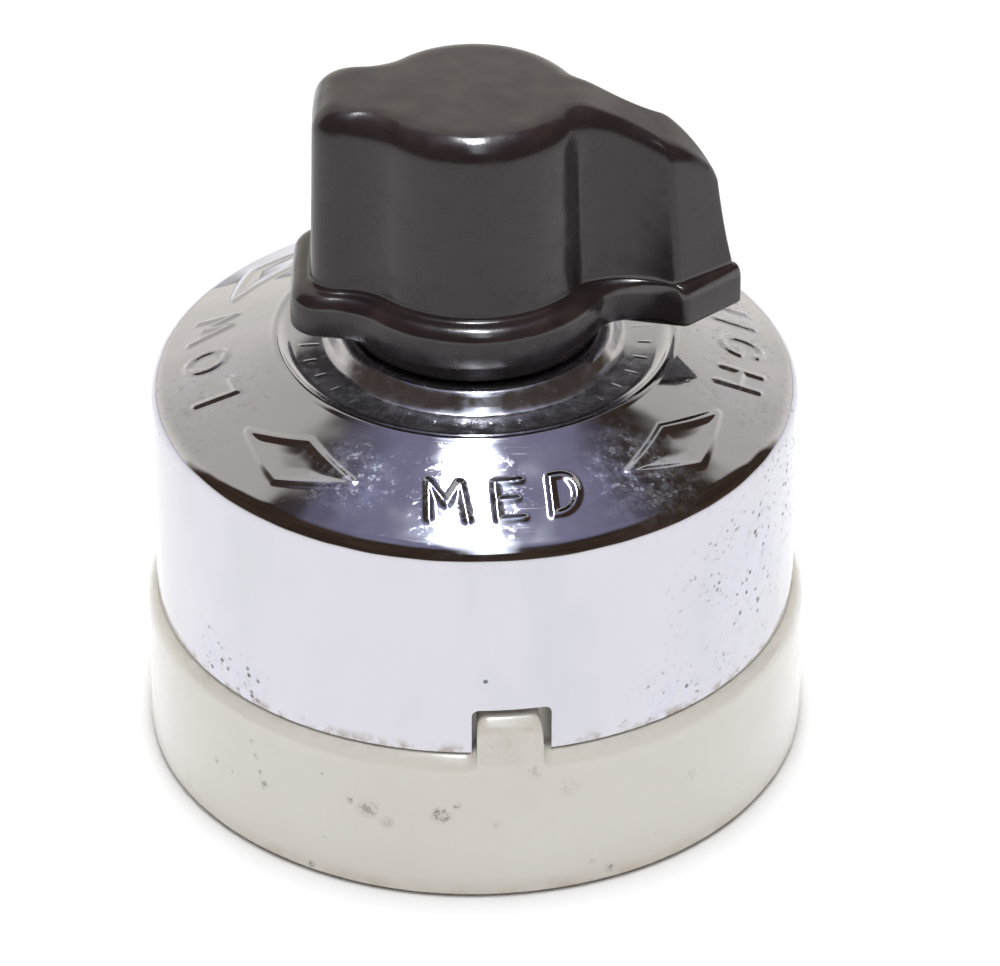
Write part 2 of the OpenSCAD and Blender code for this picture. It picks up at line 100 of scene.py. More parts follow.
def finish_mesh(obj, sharp_deg):
    """Merges doubled points, turns faces outwards, and shades smooth with sharp edges kept."""
    bm = bmesh.new()
    bm.from_mesh(obj.data)
    bmesh.ops.remove_doubles(bm, verts=bm.verts, dist=2e-6)
    bmesh.ops.dissolve_degenerate(bm, edges=bm.edges, dist=1e-6)
    bmesh.ops.recalc_face_normals(bm, faces=bm.faces)
    bm.to_mesh(obj.data)
    bm.free()
    obj.data.polygons.foreach_set("use_smooth", [True] * len(obj.data.polygons))
    obj.data.set_sharp_from_angle(angle=math.radians(sharp_deg))


def make_mesh(name, points_mm, faces, wear=None, sharp_deg=40):
    """An object from points in millimetres. wear is a value per point that materials can read."""
    mesh = bpy.data.meshes.new(name)
    mesh.from_pydata((np.asarray(points_mm) * MM).tolist(), [], faces)
    if wear is not None:
        mesh.attributes.new("wear", "FLOAT", "POINT").data.foreach_set("value", np.asarray(wear, float))
    obj = bpy.data.objects.new(name, mesh)
    bpy.context.scene.collection.objects.link(obj)
    finish_mesh(obj, sharp_deg)
    return obj


def grid_faces(rows, cols, loop_rows=False):
    """Quads of a grid whose columns wrap round, and whose rows do too if asked."""
    faces = []
    for i in range(rows if loop_rows else rows - 1):
        a, b = i * cols, (i + 1) % rows * cols
        faces += [(a + j, a + (j + 1) % cols, b + (j + 1) % cols, b + j) for j in range(cols)]
    return faces


def capped_faces(rows, cols):
    """Faces of a stack of rings that is closed by one face at each end."""
    last = (rows - 1) * cols
    ends = [tuple(range(cols))[::-1], tuple(range(last, last + cols))]
    return grid_faces(rows, cols) + ends


def cut(obj, cutter, sharp_deg):
    """Cuts the cutter's shape out of obj and removes the cutter."""
    tool = obj.modifiers.new("cut", "BOOLEAN")
    tool.operation = "DIFFERENCE"
    tool.solver = "EXACT"
    tool.object = cutter
    graph = bpy.context.evaluated_depsgraph_get()
    obj.data = bpy.data.meshes.new_from_object(obj.evaluated_get(graph), depsgraph=graph)
    obj.modifiers.clear()
    bpy.data.objects.remove(cutter)
    finish_mesh(obj, sharp_deg)


def prism(outline, z0, z1):
    """Points and faces of an upright prism over a plan outline."""
    n = len(outline)
    low = np.column_stack([outline, np.full(n, z0)])
    high = np.column_stack([outline, np.full(n, z1)])
    return np.concatenate([low, high]), capped_faces(2, n)


def joined(name, parts):
    """One object from several (points, faces) parts."""
    points, faces = [], []
    for part_points, part_faces in parts:
        faces += [tuple(i + len(points) for i in f) for f in part_faces]
        points += list(part_points)
    return make_mesh(name, points, faces)


def lathe(profile, columns):
    """Ring points of a profile of (radius, height), one row for each profile point."""
    angle = np.linspace(0, 2 * math.pi, columns, endpoint=False)
    r, z = np.asarray(profile)[:, :1], np.asarray(profile)[:, 1:]
    return np.stack([r * np.cos(angle), r * np.sin(angle), z + 0 * angle], 2)


# ---- porcelain base ----

LEDGE_Z = COVER_FOOT
LEDGE_EDGE_R = 2.0
FOOT_EDGE_R = 0.9
INNER_WALL_R = 29.3
TAB_TOP = 20.3
TAB_HALF = 3.15
TAB_CORNER_R = 1.1
TAB_FILLET_R = 1.0
FLOOR_Z = 8.0
WELL_R = 15.6
BEARING_R, BEARING_Z = 4.5, 5.0
POCKET_HALF, POCKET_START, POCKET_REACH = 9.0, 10.0, 26.8
WIRE_AT, WIRE_OFF, WIRE_R = 20.0, 6.4, 2.3
CONTACT_AT, CONTACT_R, CONTACT_SEAT_R, CONTACT_SEAT_Z = 18.9, 1.1, 2.6, 3.2
TERMINAL_AT, TERMINAL_R, TERMINAL_DEPTH = 23.6, 1.5, 3.6
MOUNT_AT, MOUNT_R, MOUNT_SEAT_R, MOUNT_FLOOR = 21.5, 2.3, 4.4, 7.0
FRAME_AT, FRAME_R, FRAME_SEAT_R, FRAME_SEAT_Z = 21.5, 1.6, 3.4, 4.0
MOUTH = 0.45
SHRINK, WOBBLE = 0.08, 0.9
CUT_TOP = WALL_TOP + 2
DIAGONALS = (45, 135, 225, 315)


def tab_height(across):
    """Height of the tab over the ledge: round upper corners, upright sides, and a fillet at each foot."""
    rise = TAB_TOP - LEDGE_Z
    over = across - TAB_HALF
    if over <= -TAB_CORNER_R:
        return rise
    if over <= 0:
        return rise - TAB_CORNER_R + math.sqrt(TAB_CORNER_R ** 2 - (over + TAB_CORNER_R) ** 2)
    if over < TAB_FILLET_R:
        return TAB_FILLET_R - math.sqrt(TAB_FILLET_R ** 2 - (TAB_FILLET_R - over) ** 2)
    return 0.0


def base_angles():
    """Angles round the base, close together where the tab's corners and fillets turn."""
    turn = np.linspace(0, math.pi / 2, 9)
    half = np.concatenate([
        np.linspace(0, TAB_HALF - TAB_CORNER_R, 6)[:-1],
        TAB_HALF - TAB_CORNER_R * (1 - np.sin(turn)),
        TAB_HALF + 0.012 + TAB_FILLET_R * (1 - np.cos(turn)),
    ])
    tab = np.degrees(np.concatenate([-half[:0:-1], half]) / BASE_R) + 270
    coarse = np.arange(0, 360, 1.25)
    keep = coarse[(coarse < tab[0] - 0.6) | (coarse > tab[-1] + 0.6)]
    return np.radians(np.sort(np.concatenate([keep, tab])))


def base_profile(angle):
    """Profile of the base at one angle: underside, wall, rounded ledge (or tab), inner wall, top."""
    ledge = LEDGE_Z + tab_height(abs(angle - 1.5 * math.pi) * BASE_R)
    edge = LEDGE_EDGE_R
    foot = arc(BASE_R - FOOT_EDGE_R, FOOT_EDGE_R, FOOT_EDGE_R, -90, 0, 6)
    wall = line((BASE_R, FOOT_EDGE_R), (BASE_R, ledge - edge), 8)
    shoulder = arc(BASE_R - edge, ledge - edge, edge, 0, 90, 10)
    shelf = line((BASE_R - edge, ledge), (INNER_WALL_R + 0.3, ledge), 2)
    inner = arc(INNER_WALL_R + 0.3, ledge + 0.3, 0.3, 270, 180, 3)
    rise = line((INNER_WALL_R, ledge + 0.3), (INNER_WALL_R, WALL_TOP - 0.8), 2)
    top = arc(INNER_WALL_R - 0.8, WALL_TOP - 0.8, 0.8, 0, 90, 4)
    rim = [(BASE_R - 6, 0.0)]
    return np.concatenate([rim, foot, wall, shoulder, shelf, inner, rise, top, [(8.0, WALL_TOP)]])


def hole(x, y, r, z0, z1, flare=0.0):
    """A round cutter from z0 up to z1, whose mouth at the underside is rounded by flare."""
    profile = [(r, z0)]
    if flare:
        profile = [(r + flare * 1.2, -1.0), (r + flare, 0.0), (r + flare * 0.35, flare * 0.35), (r, flare)]
    rings = lathe(profile + [(r, z1)], 48)
    points = rings.reshape(-1, 3) + np.array([x, y, 0])
    return points, capped_faces(len(rings), 48)


def turned(x, y, degrees):
    """A point turned round the axis."""
    a = math.radians(degrees)
    return x * math.cos(a) - y * math.sin(a), x * math.sin(a) + y * math.cos(a)


def pocket(degrees):
    """Cutter of one wiring pocket: straight sides, and an outer end that follows the wall."""
    swing = math.degrees(math.asin(POCKET_HALF / POCKET_REACH))
    end = arc(0, 0, POCKET_REACH, -swing, swing, 16)
    outline = np.concatenate([[(POCKET_START, -POCKET_HALF)], end, [(POCKET_START, POCKET_HALF)]])
    plan = np.array([turned(x, y, degrees) for x, y in outline])
    return prism(plan, FLOOR_Z, CUT_TOP)


def base_cutters():
    """All hollows and holes of the base, in groups that don't touch each other's faces."""
    wells = [hole(0, 0, WELL_R, FLOOR_Z, CUT_TOP)]
    pockets = [pocket(spot) for spot in DIAGONALS]
    holes = [hole(0, 0, BEARING_R, BEARING_Z, FLOOR_Z + 1)]
    for spot in DIAGONALS:
        holes.append(hole(*turned(WIRE_AT, WIRE_OFF, spot), WIRE_R, -1, FLOOR_Z + 1, MOUTH))
        holes.append(hole(*turned(CONTACT_AT, 0, spot), CONTACT_SEAT_R, -1, CONTACT_SEAT_Z, MOUTH))
        holes.append(hole(*turned(TERMINAL_AT, 0, spot), TERMINAL_R, FLOOR_Z - TERMINAL_DEPTH, FLOOR_Z + 1))
    for side in (-1, 1):
        holes.append(hole(side * MOUNT_AT, 0, MOUNT_R, -1, MOUNT_FLOOR + 1, MOUTH))
        holes.append(hole(0, side * FRAME_AT, FRAME_SEAT_R, -1, FRAME_SEAT_Z, MOUTH))
    seats = [hole(side * MOUNT_AT, 0, MOUNT_SEAT_R, MOUNT_FLOOR, CUT_TOP) for side in (-1, 1)]
    shanks = [hole(0, side * FRAME_AT, FRAME_R, FRAME_SEAT_Z - 1, CUT_TOP) for side in (-1, 1)]
    for spot in DIAGONALS:
        shanks.append(hole(*turned(CONTACT_AT, 0, spot), CONTACT_R, CONTACT_SEAT_Z - 1, FLOOR_Z + 1))
    return [wells, pockets, holes, seats, shanks]


def porcelain_base():
    """The base: a body with the tab on its ledge, a little out of round, and every hole cut in it."""
    angles = base_angles()
    profiles = np.array([base_profile(a) for a in angles])
    r, z = profiles[:, :, 0].T, profiles[:, :, 1].T
    wobble = 0.05 * np.sin(3 * angles + 0.6) + 0.03 * np.sin(7 * angles + 2.1)
    outer = smoothstep(INNER_WALL_R + 0.5, BASE_R - 0.5, r)
    r = r - SHRINK * outer + wobble * outer * WOBBLE
    rings = np.stack([r * np.cos(angles), r * np.sin(angles), z], 2)
    body = make_mesh("porcelain_body", rings.reshape(-1, 3), capped_faces(len(rings), len(angles)))
    for number, group in enumerate(base_cutters()):
        cut(body, joined(f"cutter_{number}", group), 42)
    return body


# ---- cover ----

SHELL_T = 0.6
WALL_END = 36.9
SHOULDER_R = 2.0
DIAL_RIM_R, DIAL_RIM_Z = 18.9, 43.4
RECESS_R, RECESS_Z = 17.5, 42.75
BOSS_FOOT_R, BOSS_R = 14.5, 12.8
HOLE_R = 4.3
WORD_R = 25.5
WORD_H = 4.1
STROKE = 0.64
RELIEF = 0.22
RHOMB_R = 25.15
RHOMB_LONG, RHOMB_SHORT = 6.7, 2.5
TICK_IN, TICK_OUT = 15.2, 16.7
TICKS, TICK_HALF, TICK_RELIEF = 36, 0.22, 0.05
RHOMB_RIDGE, RHOMB_DISH = 0.65, 0.3
NOTCH_CORNER_R = 0.7
NOTCH_HALF, NOTCH_TOP, NOTCH_SHIFT = 3.75, 20.9, 0.25
COVER_COLUMNS = 1080


def dial_slope():
    """Angle of the arc's end, where the dial's straight slope leaves the shoulder."""
    dx = DIAL_RIM_R - (COVER_R - SHOULDER_R)
    dz = DIAL_RIM_Z - WALL_END
    return math.degrees(math.atan2(dz, dx) - math.acos(SHOULDER_R / math.hypot(dx, dz)))


SLOPE_END = dial_slope()
SLOPE = math.radians(90 - SLOPE_END)


def cover_outer():
    """Outer profile of the cover from its foot to the centre hole, as (radius, height)."""
    turn = arc(COVER_R - SHOULDER_R, WALL_END, SHOULDER_R, 0, SLOPE_END, 9)
    rim = [(DIAL_RIM_R + 0.55, DIAL_RIM_Z - 0.2), (DIAL_RIM_R + 0.3, DIAL_RIM_Z - 0.02),
           (DIAL_RIM_R, DIAL_RIM_Z + 0.06), (DIAL_RIM_R - 0.28, DIAL_RIM_Z - 0.03),
           (DIAL_RIM_R - 0.5, DIAL_RIM_Z - 0.28), (RECESS_R + 0.35, RECESS_Z + 0.1),
           (RECESS_R, RECESS_Z + 0.01)]
    boss = [(BOSS_FOOT_R, RECESS_Z + 0.02), (BOSS_FOOT_R - 0.35, RECESS_Z + 0.14),
            (BOSS_FOOT_R - 0.8, RECESS_Z + 0.7), (BOSS_R + 0.5, BOSS_Z - 0.55),
            (BOSS_R + 0.25, BOSS_Z - 0.22), (BOSS_R - 0.1, BOSS_Z - 0.04), (BOSS_R - 0.5, BOSS_Z)]
    return np.concatenate([
        line((COVER_R, COVER_FOOT), (COVER_R, WALL_END), 14), turn,
        line(turn[-1], rim[0], 72), rim, line(rim[-1], boss[0], 18), boss, [(HOLE_R + 0.2, BOSS_Z)],
    ])


def cover_inner():
    """Inner profile from the hole back to the foot, one sheet thickness under the outer one."""
    t = SHELL_T
    turn = arc(COVER_R - SHOULDER_R, WALL_END, SHOULDER_R - t, SLOPE_END, 0, 5)
    return np.concatenate([
        [(HOLE_R, BOSS_Z - 0.2), (HOLE_R, BOSS_Z - t), (BOSS_R - 0.4, BOSS_Z - t),
         (BOSS_FOOT_R - 0.4, RECESS_Z - t), (RECESS_R, RECESS_Z - t),
         (DIAL_RIM_R - 0.2, DIAL_RIM_Z - t - 0.1), (DIAL_RIM_R + 0.6, DIAL_RIM_Z - t - 0.25)],
        turn, line(turn[-1], (COVER_R - t, COVER_FOOT), 5),
        [(COVER_R - t, COVER_FOOT + 0.12), (COVER_R - t / 2, COVER_FOOT), (COVER_R - 0.08, COVER_FOOT + 0.1)],
    ])


def ellipse(cx, cy, rx, ry, start, end, steps=14):
    """Points of an ellipse's arc, as a list, with angles in degrees."""
    angles = np.radians(np.linspace(start, end, steps + 1))
    return np.stack([cx + rx * np.cos(angles), cy + ry * np.sin(angles)], 1).tolist()


# Plain block letters for the four positions, as strokes in a box one unit high, and their widths
GLYPHS = {
    "D": (0.6, [[(0, 0), (0, 1), (0.16, 1)] + ellipse(0.16, 0.5, 0.44, 0.5, 90, -90) + [(0, 0)]]),
    "E": (0.58, [[(0.58, 1), (0, 1), (0, 0), (0.58, 0)], [(0, 0.52), (0.46, 0.52)]]),
    "F": (0.58, [[(0.58, 1), (0, 1), (0, 0)], [(0, 0.52), (0.46, 0.52)]]),
    "G": (0.7, [ellipse(0.36, 0.5, 0.36, 0.5, 48, 322) + [(0.7, 0.42), (0.42, 0.42)]]),
    "H": (0.64, [[(0, 0), (0, 1)], [(0.64, 0), (0.64, 1)], [(0, 0.5), (0.64, 0.5)]]),
    "I": (0.04, [[(0.02, 0), (0.02, 1)]]),
    "L": (0.56, [[(0, 1), (0, 0), (0.56, 0)]]),
    "M": (0.88, [[(0, 0), (0.08, 1), (0.44, 0.42), (0.8, 1), (0.88, 0)]]),
    "O": (0.72, [ellipse(0.36, 0.5, 0.36, 0.5, 0, 360, 24)]),
    "W": (0.96, [[(0, 1), (0.24, 0), (0.48, 0.74), (0.72, 0), (0.96, 1)]]),
}
LETTER_GAP = 0.69


def word_strokes(word):
    """The strokes of a word in millimetres, centred on the origin."""
    gaps = LETTER_GAP * (len(word) - 1)
    x = -(sum(GLYPHS[c][0] for c in word) + gaps) / 2
    strokes = []
    for c in word:
        width, lines = GLYPHS[c]
        strokes += [[((px + x) * WORD_H, (py - 0.5) * WORD_H) for px, py in s] for s in lines]
        x += width + LETTER_GAP
    return strokes


def distance_to_strokes(x, y, strokes):
    """Distance from each point (x, y) to the nearest stroke."""
    best = np.full(x.shape, 1e3)
    for stroke in strokes:
        for (ax, ay), (bx, by) in zip(stroke, stroke[1:]):
            dx, dy = bx - ax, by - ay
            t = np.clip(((x - ax) * dx + (y - ay) * dy) / max(dx * dx + dy * dy, 1e-9), 0, 1)
            best = np.minimum(best, np.hypot(x - ax - t * dx, y - ay - t * dy))
    return best


def wrapped(angle):
    """An angle brought between -pi and pi."""
    return (angle + math.pi) % (2 * math.pi) - math.pi


# Each word, the angle it stands at, and whether its letters' tops point outwards
WORDS = [("MED", 270, False), ("LOW", 175, True), ("HIGH", 0, True), ("OFF", 90, True)]
RHOMBS_AT = (44, 136, 222, 314)
RHOMB_CORNERS = [(RHOMB_LONG, 0), (0, RHOMB_SHORT), (-RHOMB_LONG, 0), (0, -RHOMB_SHORT), (RHOMB_LONG, 0)]


def dial_relief(r, angle):
    """Height of the stamped words, rhombuses and tick marks over the plain dial, in millimetres."""
    relief = np.zeros_like(r)
    for word, degrees, outward in WORDS:
        turn = wrapped(angle - math.radians(degrees))
        near = (np.abs(turn) < 0.5) & (r > 21) & (r < 28.5)
        way = 1 if outward else -1
        x = -way * turn[near] * r[near]
        y = way * (r[near] - WORD_R) / math.cos(SLOPE)
        d = distance_to_strokes(x, y, word_strokes(word))
        relief[near] = RELIEF * (1 - smoothstep(-0.12, STROKE, d))
    for degrees in RHOMBS_AT:
        turn = wrapped(angle - math.radians(degrees))
        near = (np.abs(turn) < 0.36) & (r > 21) & (r < COVER_R - 0.6)
        x, y = turn[near] * r[near], (r[near] - RHOMB_R) / math.cos(SLOPE)
        d = distance_to_strokes(x, y, [RHOMB_CORNERS])
        inside = np.abs(x) / RHOMB_LONG + np.abs(y) / RHOMB_SHORT < 1
        ridge = RHOMB_RIDGE * (1 - smoothstep(-0.05, 0.7, d))
        dish = RHOMB_DISH * smoothstep(0.0, 1.7, d * inside)
        relief[near] = RELIEF * (ridge - dish)
    step = 2 * math.pi / TICKS
    from_tick = np.abs((angle / step + 0.5) % 1 - 0.5) * step * r
    long_tick = (np.round(angle / step) % 6) == 0
    inner = np.where(long_tick, TICK_IN - 0.25, TICK_IN + 0.35)
    band = smoothstep(inner - 0.1, inner + 0.1, r) * (1 - smoothstep(TICK_OUT - 0.1, TICK_OUT + 0.1, r))
    relief += TICK_RELIEF * band * (1 - smoothstep(0.0, TICK_HALF, from_tick))
    return relief


def cover_shell():
    """The drawn cover: its profile turned round, the dial's relief, two shallow dents and the notch."""
    outer, inner = cover_outer(), cover_inner()
    profile = np.concatenate([outer, inner])
    tangent = np.roll(profile, -1, 0) - np.roll(profile, 1, 0)
    normal = np.stack([tangent[:, 1], -tangent[:, 0]], 1)
    normal /= np.linalg.norm(normal, axis=1)[:, None]
    angle = np.linspace(0, 2 * math.pi, COVER_COLUMNS, endpoint=False)
    r = np.repeat(profile[:, :1], COVER_COLUMNS, 1)
    relief = dial_relief(r, np.repeat(angle[None], len(profile), 0))
    relief[len(outer):] = 0
    dents = 0.035 * np.sin(2 * angle + 1.0) + 0.02 * np.sin(5 * angle + 0.4)
    r = r + relief * normal[:, :1] + dents * smoothstep(20, 30, r)
    z = profile[:, 1:] + relief * normal[:, 1:] + 0 * angle
    rings = np.stack([r * np.cos(angle), r * np.sin(angle), z], 2)
    wear = smoothstep(0.12, 0.3, relief).ravel()
    faces = grid_faces(len(rings), COVER_COLUMNS, loop_rows=True)
    shell = make_mesh("cover_stamped", rings.reshape(-1, 3), faces, wear, sharp_deg=50)
    left, right = NOTCH_SHIFT - NOTCH_HALF, NOTCH_SHIFT + NOTCH_HALF
    corner_z = NOTCH_TOP - NOTCH_CORNER_R
    gate = np.concatenate([
        [(left, COVER_FOOT - 1), (right, COVER_FOOT - 1)],
        arc(right - NOTCH_CORNER_R, corner_z, NOTCH_CORNER_R, 0, 90, 6),
        arc(left + NOTCH_CORNER_R, corner_z, NOTCH_CORNER_R, 90, 180, 6),
    ])
    points, faces = prism(gate, 26, 34)
    cutter = make_mesh("notch_cutter", [(x, -out, up) for x, up, out in points], faces)
    cut(shell, cutter, 50)
    return shell


# ---- knob ----

HUB_R = 10.9
TIP_REACH, TIP_RUN, TIP_HALF, TIP_CORNER_R = 24.5, 5.3, 4.1, 0.9
WAIST_X, WAIST_HALF, SIDE_R = 14.7, 3.05, 9.0
TAIL_REACH, TAIL_HALF, TAIL_COVE_R = 15.3, 5.85, 7.0
SKIRT_LIP, SKIRT_FLARE, SKIRT_ROUND = 2.2, 3.0, 1.45
SKIRT_Z, SKIRT_TOP = 46.9, 51.0
COLLAR_R, COLLAR_TOP = 12.1, 46.9
SEAT_R = 8.4
NOSE_R = 0.45
FOOT_R = 0.3
COVE_R = 0.6


def degrees_of(v):
    """Direction of a plan vector in degrees."""
    return math.degrees(math.atan2(v[1], v[0]))


def circles_meet(r1, c, r2):
    """Where a circle round the origin meets one of radius r2 round c, on c's right."""
    d = np.linalg.norm(c)
    along = (r1 * r1 - r2 * r2 + d * d) / (2 * d)
    aside = math.sqrt(r1 * r1 - along * along)
    return c * along / d + np.array([c[1], -c[0]]) * aside / d


def tip_corner_centre(tip, lean, hollow, side):
    """Centre of the round between the tip's face and the pointer's hollow side."""
    start = np.array([math.sin(lean), math.cos(lean)]) * (tip * math.sin(lean) - TIP_CORNER_R)
    way = np.array([-math.cos(lean), math.sin(lean)])
    off = way @ (start - hollow)
    reach = np.sum((start - hollow) ** 2) - (side + TIP_CORNER_R) ** 2
    return start - way * (off + math.sqrt(off * off - reach))


def half_plan(grow, flare, tip_back=0.0):
    """Half of the knob's plan at one level: V tip, hollow-sided pointer, hub and blunt tail.

    grow moves the outline outwards, flare rounds the groove beside the hub, and tip_back pulls
    the tip in. Every call gives the same number of points.
    """
    hub = HUB_R + grow
    side = SIDE_R - grow
    tip = TIP_REACH + grow * 0.41 - tip_back
    run = TIP_RUN + grow * 0.14 - tip_back * 0.33
    lean = math.atan2(TIP_HALF + grow * 0.5, run)
    facing = 90 - math.degrees(lean)
    nose = arc(tip - NOSE_R / math.sin(lean), 0, NOSE_R, 0, facing, 4)
    hollow = np.array([WAIST_X + grow * 0.45, WAIST_HALF + grow * 0.27 + side])
    corner = tip_corner_centre(tip, lean, hollow, side)
    groove = circles_meet(hub + flare, hollow, side - flare)
    tail = TAIL_HALF + grow * 0.73
    cove = np.array([-math.sqrt((hub + TAIL_COVE_R) ** 2 - (tail + TAIL_COVE_R) ** 2), tail + TAIL_COVE_R])
    reach = TAIL_REACH + grow * 0.89
    round_r = reach + cove[0]
    shoulder = arc(*corner, TIP_CORNER_R, facing, degrees_of(hollow - corner), 6)
    return np.concatenate([
        nose, line(nose[-1], shoulder[0], 6), shoulder,
        arc(*hollow, side, degrees_of(corner - hollow), degrees_of(groove - hollow), 16)[1:],
        arc(*groove, flare, degrees_of(groove - hollow), degrees_of(-groove), 8)[1:],
        arc(0, 0, hub, degrees_of(groove), degrees_of(cove), 34)[1:],
        arc(*cove, TAIL_COVE_R, degrees_of(-cove), -90, 14)[1:],
        arc(cove[0], tail - round_r, round_r, 90, 180, 12)[1:],
        line((-reach, tail - round_r), (-reach - 0.08, 0), 3), [(-reach - 0.08, 0)],
    ])


def plan(grow, flare, tip_back=0.0):
    """The whole outline of half_plan, mirrored in the pointer's middle line."""
    half = half_plan(grow, flare, tip_back)
    return np.concatenate([half, (half * [1, -1])[-2:0:-1]])


def ring_at(outline, z):
    """A plan outline raised to z, which is one height or a height per point."""
    return np.column_stack([outline, np.broadcast_to(z, len(outline))])


def circle_like(outline, radius, z):
    """A circle with one point for each of the outline's, in steadily turning directions."""
    half = len(outline) // 2 + 1
    turn = np.maximum.accumulate(np.arctan2(outline[:half, 1], outline[:half, 0]))
    turn = 0.95 * turn + 0.05 * np.linspace(0, math.pi, half)
    turn = np.concatenate([turn, -turn[-2:0:-1]])
    return np.column_stack([radius * np.cos(turn), radius * np.sin(turn), np.full(len(turn), z)])


def top_height(x, y):
    """Height of the knob's top: almost flat over the hub, then down along the pointer to the tip."""
    past = x - 10.2
    fall = 0.53 * 0.5 * (past + np.sqrt(past * past + 1.2)) + 0.11 * np.maximum(x - 18, 0) ** 2
    return KNOB_TOP - fall - 0.0012 * (x * x + y * y) * smoothstep(22, 8, x)


def body_plan(up):
    """Plan of the knob's body at a share of its height: the mould's draft narrows it upwards."""
    flare = 2.6 - 1.9 * up ** 0.7 + 3.2 * float(smoothstep(0.66, 1.0, up))
    return plan(0.05 - 0.4 * up, flare, 1.25 * up)


def skirt_rings(rings):
    """The knob's foot: bore floor, seat, collar, and the skirt up to its rounded shoulder."""
    skirt = plan(SKIRT_LIP, SKIRT_FLARE)
    rings += [circle_like(skirt, INSERT_R, z) for z in (INSERT_TOP, SEAT_TOP)]
    rings += [circle_like(skirt, SEAT_R, z) for z in (SEAT_TOP, KNOB_FOOT + 0.25)]
    collar = [(SEAT_R + 0.25, 0.0), (COLLAR_R - 0.5, 0.0), (COLLAR_R - 0.15, 0.12), (COLLAR_R, 0.45),
              (COLLAR_R, 1.3), (COLLAR_R + 0.1, COLLAR_TOP - KNOB_FOOT - 0.1)]
    rings += [circle_like(skirt, r, KNOB_FOOT + up) for r, up in collar]
    for turn in np.radians(np.linspace(-90, 0, 4)):
        inset = FOOT_R * (1 - math.cos(turn))
        rings.append(ring_at(plan(SKIRT_LIP - inset, SKIRT_FLARE), SKIRT_Z + FOOT_R * (1 + math.sin(turn))))
    rings.append(ring_at(plan(SKIRT_LIP - 0.03, SKIRT_FLARE), SKIRT_TOP - 2.2))
    for turn in np.radians(np.linspace(0, 82, 8)):
        inset = 0.06 + SKIRT_ROUND * (1 - math.cos(turn))
        z = SKIRT_TOP - SKIRT_ROUND * (1 - math.sin(turn))
        rings.append(ring_at(plan(SKIRT_LIP - inset, SKIRT_FLARE), z))


def body_rings(rings):
    """The walls of hub, pointer and tail, from the hollow at the skirt up to where the top rounds over."""
    for turn in np.radians(np.linspace(8, 90, 6)):
        out = COVE_R * (1 - math.sin(turn))
        rings.append(ring_at(plan(0.05 + out, 2.6 + out * 0.5), SKIRT_TOP + COVE_R * (1 - math.cos(turn))))
    foot = SKIRT_TOP + COVE_R
    for share in np.linspace(0.05, 1, 18):
        outline = body_plan(share)
        top = top_height(outline[:, 0], outline[:, 1]) - edge_round(outline[:, 0])
        rings.append(ring_at(outline, foot + (top - foot) * share))


def edge_round(x):
    """Radius of the knob's top edge along the pointer: full over the hub, tighter to the tip."""
    return 2.7 - 0.7 * smoothstep(7, 14, x) - 1.1 * smoothstep(17.5, 22.5, x)


def top_rings(rings):
    """The rounded top edge and the top itself, closed on a line down the knob's middle."""
    edge = rings[-1][:, :2]
    middle_x = np.interp(edge[:, 0], [-TAIL_REACH, -8, 8, 17, 23], [-8.5, -3, 3, 14, 20])
    middle = np.stack([middle_x, 0 * middle_x], 1)
    inward = (middle - edge) / np.linalg.norm(middle - edge, axis=1)[:, None]
    round_r = edge_round(edge[:, 0])
    for turn in np.radians(np.linspace(10, 90, 9)):
        out = edge + inward * (round_r * (1 - math.cos(turn)))[:, None]
        z = top_height(out[:, 0], out[:, 1]) - round_r * (1 - math.sin(turn))
        rings.append(ring_at(out, z))
    lip = rings[-1][:, :2]
    for share in np.linspace(0.1, 1, 10):
        flat = lip + (middle - lip) * share
        rings.append(ring_at(flat, top_height(flat[:, 0], flat[:, 1])))


def knob():
    """The moulded knob, turned to where it rests. Its wear value marks the worn top, and the skirt's rim,
    where the finish paints a lighter band as a painted highlight.
    """
    rings = []
    skirt_rings(rings)
    body_rings(rings)
    top_rings(rings)
    rings = np.array(rings)
    count, columns = rings.shape[:2]
    c, s = math.cos(KNOB_REST), math.sin(KNOB_REST)
    points = rings.reshape(-1, 3) @ np.array([[c, s, 0], [-s, c, 0], [0, 0, 1]])
    faces = grid_faces(count, columns) + [tuple(range(columns))[::-1]]
    z = rings[:, :, 2].ravel()
    # the skirt's rim band: its wear value makes the finish paint a lighter highlight here, not wear
    rim = smoothstep(SKIRT_TOP - 1.5, SKIRT_TOP - 0.8, z) * smoothstep(SKIRT_TOP + 0.7, SKIRT_TOP + 0.2, z)
    wear = np.maximum(smoothstep(KNOB_TOP - 3, KNOB_TOP, z), rim)
    return make_mesh("knob_moulded", points, faces, wear, sharp_deg=50)


# ---- sealing compound in the screw seats under the base ----


def plug(x, y, r, top, rng):
    """Pitch poured into a screw seat: dished and a little uneven on its open face."""
    columns = 32
    lumps = [(rng.uniform(0.02, 0.09), rng.randint(2, 5), rng.uniform(0, 6.28)) for _ in range(3)]
    angle = np.linspace(0, 2 * math.pi, columns, endpoint=False)
    rings = []
    for share in (0.04, 0.3, 0.55, 0.75, 0.9, 0.97, 1.0):
        wave = sum(size * np.sin(turns * angle + phase) for size, turns, phase in lumps) * share
        sag = 0.75 - 0.4 * share ** 2 + wave * (1 - share * 0.6)
        rings.append(np.stack([r * share * np.cos(angle), r * share * np.sin(angle), sag], 1))
    rings.append(np.stack([r * np.cos(angle), r * np.sin(angle), top + 0 * angle], 1))
    return np.concatenate(rings) + np.array([x, y, 0]), capped_faces(len(rings), columns)


def sealing_plugs():
    """All six plugs as one piece."""
    rng = random.Random(7)
    plug_top = top_of("sealing_plugs")
    spots = [(*turned(CONTACT_AT, 0, spot), CONTACT_SEAT_R) for spot in DIAGONALS]
    spots += [(0, side * FRAME_AT, FRAME_SEAT_R) for side in (-1, 1)]
    return joined("sealing_pitch", [plug(x, y, r - 0.02, plug_top - 0.1, rng) for x, y, r in spots])


# ---- finishes ----


